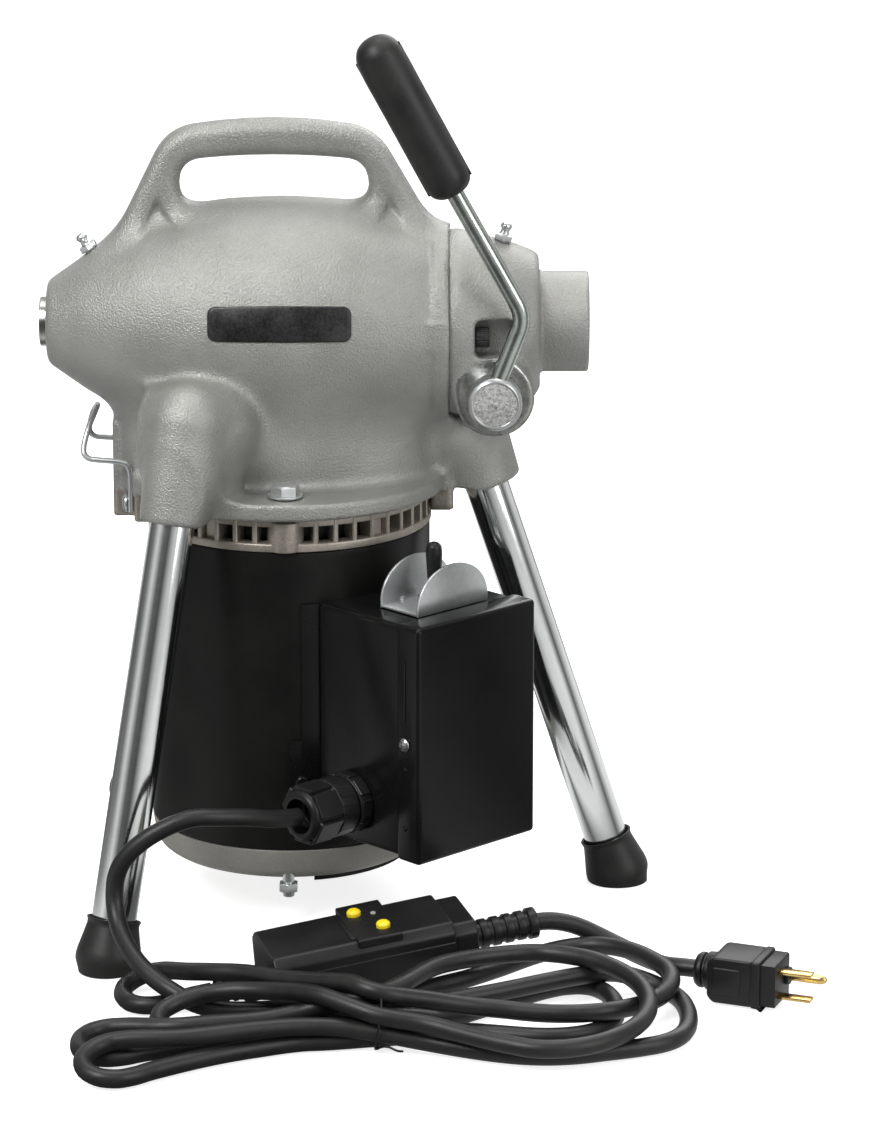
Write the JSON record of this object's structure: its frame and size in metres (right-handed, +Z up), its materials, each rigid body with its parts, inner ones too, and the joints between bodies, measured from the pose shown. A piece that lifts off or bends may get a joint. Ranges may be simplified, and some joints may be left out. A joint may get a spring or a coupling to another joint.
{
  "type": "drain snake machine",
  "caption": "Tripod-mounted sectional drain cleaning machine with a hollow spindle, carry handle, clutch lever, vertical motor, toggle switch box and tied power cord.",
  "frame": {"origin": "on the floor, midway along X between the ends of the machine without its cord, on the vertical plane through the spindle", "axes": "+X along the spindle towards the clutch end, +Z up, +Y away from the switch box side"},
  "size_m": [0.3891, 0.4468, 0.4518],
  "materials": {
    "cast_housing": "silver-grey paint over a fine cast grain",
    "raw_aluminium": "unpainted die casting",
    "bell_casting": "dull grey die casting",
    "zinc_plate": "bright zinc plate",
    "steel": "ground steel",
    "dark_steel": "hardened and oiled steel",
    "copper_winding": "varnished copper windings on a steel core",
    "black_paint": "satin black paint",
    "black_plastic": "moulded black plastic",
    "yellow_plastic": "yellow moulded buttons",
    "black_rubber": "black rubber"
  },
  "bodies": {
    "machine": {"switch_box": "black_paint", "switch_box_cover": "black_paint", "cover_screw": "zinc_plate", "switch_guard": "zinc_plate", "toggle_switch_body": "black_plastic", "cord_gland_body": "black_plastic", "cord_gland_nut": "black_plastic", "gfci_case": "black_plastic", "plug": "black_plastic", "gear_case": "cast_housing", "clutch_housing": "cast_housing", "rear_bearing": "steel", "front_bearing": "steel", "rear_grease_fitting": "zinc_plate", "front_grease_fitting": "zinc_plate", "clutch_screw_front": "dark_steel", "through_bolt_front": "zinc_plate", "through_bolt_nut_front": "zinc_plate", "clutch_screw_back": "dark_steel", "through_bolt_back": "zinc_plate", "through_bolt_nut_back": "zinc_plate", "motor_stator": "copper_winding", "upper_motor_bearing": "steel", "lower_motor_bearing": "steel", "motor_can": "black_paint", "upper_end_bell": "raw_aluminium", "lower_end_bell": "bell_casting", "bottom_cover": "black_paint", "leg_right": "zinc_plate", "foot_right": "black_rubber", "leg_front": "zinc_plate", "foot_front": "black_rubber", "leg_back": "zinc_plate", "foot_back": "black_rubber", "hose_clip_wire": "zinc_plate", "hose_clip_screw_front": "zinc_plate", "hose_clip_screw_back": "zinc_plate", "cord_lead": "black_rubber", "cord_loop": "black_rubber", "cord_tail": "black_rubber", "cord_hank": "black_rubber", "cord_tie": "black_plastic"},
    "motor": {"motor_shaft": "steel", "bevel_pinion": "dark_steel", "motor_rotor": "dark_steel", "cooling_fan": "black_plastic"},
    "spindle": {"spindle": "steel", "spindle_gear": "dark_steel"},
    "clutch_cone": {"clutch_cone": "dark_steel"},
    "jaw_1": {"clutch_jaw_1": "dark_steel"},
    "jaw_2": {"clutch_jaw_2": "dark_steel"},
    "jaw_3": {"clutch_jaw_3": "dark_steel"},
    "thrust_sleeve": {"thrust_sleeve": "steel"},
    "lever": {"lever_hub": "zinc_plate", "lever_rod": "zinc_plate", "lever_grip": "black_rubber"},
    "toggle": {"toggle_lever": "black_plastic"},
    "test_button": {"test_button": "yellow_plastic"},
    "reset_button": {"reset_button": "yellow_plastic"}
  },
  "joints": [
    {"name": "motor_spin", "type": "hinge", "parent": "machine", "child": "motor", "pos_m": [-0.0297, 0, 0.12], "axis": [0, 0, 1], "continuous": true},
    {"name": "spindle_spin", "type": "hinge", "parent": "machine", "child": "spindle", "pos_m": [-0.0297, 0, 0.298], "axis": [1, 0, 0], "continuous": true},
    {"name": "clutch_lever", "type": "hinge", "parent": "machine", "child": "lever", "pos_m": [0.0745, -0.051, 0.2677], "axis": [0, 1, 0], "range_deg": [0, 45]},
    {"name": "sleeve_slide", "type": "slide", "parent": "machine", "child": "thrust_sleeve", "axis": [1, 0, 0], "range_m": [0, 0.0069]},
    {"name": "cone_slide", "type": "slide", "parent": "spindle", "child": "clutch_cone", "axis": [1, 0, 0], "range_m": [0, 0.0069]},
    {"name": "jaw_1_slide", "type": "slide", "parent": "spindle", "child": "jaw_1", "axis": [0, 0, -1], "range_m": [0, 0.00201]},
    {"name": "jaw_2_slide", "type": "slide", "parent": "spindle", "child": "jaw_2", "axis": [0, 0.866, 0.5], "range_m": [0, 0.00201]},
    {"name": "jaw_3_slide", "type": "slide", "parent": "spindle", "child": "jaw_3", "axis": [0, -0.866, 0.5], "range_m": [0, 0.00201]},
    {"name": "toggle_tip", "type": "hinge", "parent": "machine", "child": "toggle", "pos_m": [0.0441, -0.0775, 0.171], "axis": [0.6896, -0.7242, 0], "range_deg": [-15, 15]},
    {"name": "test_button_press", "type": "slide", "parent": "machine", "child": "test_button", "axis": [0.0711, 0.1228, -0.9899], "range_m": [0, 0.0012], "stiffness_N_per_m": 300, "springref_m": -0.0005},
    {"name": "reset_button_press", "type": "slide", "parent": "machine", "child": "reset_button", "axis": [0.0711, 0.1228, -0.9899], "range_m": [0, 0.0012], "stiffness_N_per_m": 300, "springref_m": -0.0005}
  ],
  "couplings": [
    {"joint": "spindle_spin", "follows": "motor_spin", "ratio": 0.23529},
    {"joint": "sleeve_slide", "follows": "clutch_lever", "m_per_rad": 0.00877},
    {"joint": "cone_slide", "follows": "clutch_lever", "m_per_rad": 0.00877},
    {"joint": "jaw_1_slide", "follows": "clutch_lever", "m_per_rad": 0.00255},
    {"joint": "jaw_2_slide", "follows": "clutch_lever", "m_per_rad": 0.00255},
    {"joint": "jaw_3_slide", "follows": "clutch_lever", "m_per_rad": 0.00255}
  ]
}
